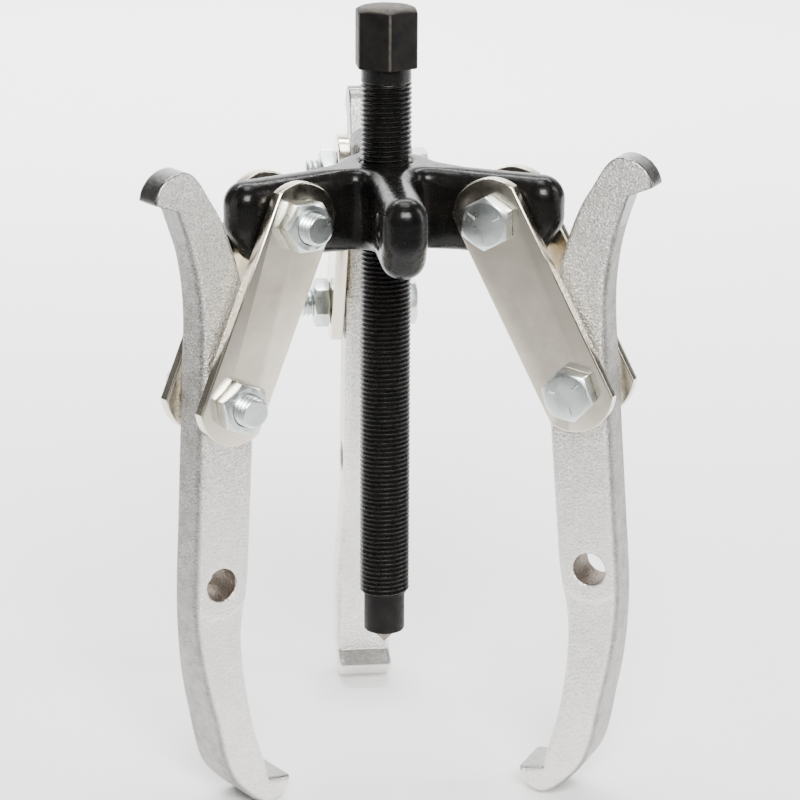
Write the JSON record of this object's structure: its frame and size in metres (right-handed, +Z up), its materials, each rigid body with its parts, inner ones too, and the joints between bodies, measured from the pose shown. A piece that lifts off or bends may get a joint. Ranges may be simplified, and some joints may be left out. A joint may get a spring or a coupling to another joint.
{
  "type": "gear puller",
  "caption": "Gear puller: a forcing screw through a cross-shaped yoke, with reversible two-ended jaws hung on pairs of straps.",
  "frame": {"origin": "on the forcing screw's axis, at the flat end of its nose", "axes": "+Z up along the screw towards its hexagon head, +Y along the rear arm, -Y along the empty front arm"},
  "size_m": [0.1536, 0.1439, 0.2461],
  "materials": {
    "black_paint": "gloss black paint over a forging",
    "oiled_black_steel": "oiled black oxide",
    "bare_point_steel": "bare hardened steel, brownish",
    "blasted_jaw_steel": "shot-blasted satin forging",
    "bright_strap_steel": "bright nickel-chrome plate",
    "zinc_plated_steel": "bright zinc plate"
  },
  "bodies": {
    "yoke": {"yoke": "black_paint"},
    "point": {"screw_point": "bare_point_steel"},
    "screw": {"forcing_screw": "oiled_black_steel"},
    "left_link": {"left_strap_head_side": "bright_strap_steel", "left_strap_nut_side": "bright_strap_steel", "left_upper_bolt": "zinc_plated_steel", "left_upper_nut": "zinc_plated_steel", "left_lower_bolt": "zinc_plated_steel", "left_lower_nut": "zinc_plated_steel"},
    "left_jaw": {"left_jaw": "blasted_jaw_steel"},
    "right_link": {"right_strap_head_side": "bright_strap_steel", "right_strap_nut_side": "bright_strap_steel", "right_upper_bolt": "zinc_plated_steel", "right_upper_nut": "zinc_plated_steel", "right_lower_bolt": "zinc_plated_steel", "right_lower_nut": "zinc_plated_steel"},
    "right_jaw": {"right_jaw": "blasted_jaw_steel"},
    "rear_link": {"rear_strap_head_side": "bright_strap_steel", "rear_strap_nut_side": "bright_strap_steel", "rear_upper_bolt": "zinc_plated_steel", "rear_upper_nut": "zinc_plated_steel", "rear_lower_bolt": "zinc_plated_steel", "rear_lower_nut": "zinc_plated_steel"},
    "rear_jaw": {"rear_jaw": "blasted_jaw_steel"}
  },
  "joints": [
    {"name": "screw_advance", "type": "slide", "parent": "yoke", "child": "point", "axis": [0, 0, 1], "range_m": [-0.023, 0.1]},
    {"name": "screw_turn", "type": "hinge", "parent": "point", "child": "screw", "pos_m": [0, 0, 0], "axis": [0, 0, 1], "range_deg": [-5530, 24010]},
    {"name": "left_link_swing", "type": "hinge", "parent": "yoke", "child": "left_link", "pos_m": [-0.03408, -0.01968, 0.1413], "axis": [-0.5, 0.866, 0], "range_deg": [-4.3, 25.7]},
    {"name": "left_jaw_swing", "type": "hinge", "parent": "left_link", "child": "left_jaw", "pos_m": [-0.05439, -0.0314, 0.08935], "axis": [-0.5, 0.866, 0], "range_deg": [-7.1, 1.5]},
    {"name": "right_link_swing", "type": "hinge", "parent": "yoke", "child": "right_link", "pos_m": [0.03408, -0.01968, 0.1413], "axis": [-0.5, -0.866, 0], "range_deg": [-8.5, 21.5]},
    {"name": "right_jaw_swing", "type": "hinge", "parent": "right_link", "child": "right_jaw", "pos_m": [0.05763, -0.03327, 0.09121], "axis": [-0.5, -0.866, 0], "range_deg": [-4.7, 3.9]},
    {"name": "rear_link_swing", "type": "hinge", "parent": "yoke", "child": "rear_link", "pos_m": [0, 0.03935, 0.1413], "axis": [1, 0, 0], "range_deg": [-8.5, 21.5]},
    {"name": "rear_jaw_swing", "type": "hinge", "parent": "rear_link", "child": "rear_jaw", "pos_m": [0, 0.06655, 0.09121], "axis": [1, 0, 0], "range_deg": [-8.2, 0.4]}
  ],
  "couplings": [
    {"joint": "screw_turn", "follows": "screw_advance", "rad_per_m": 4188.8}
  ]
}
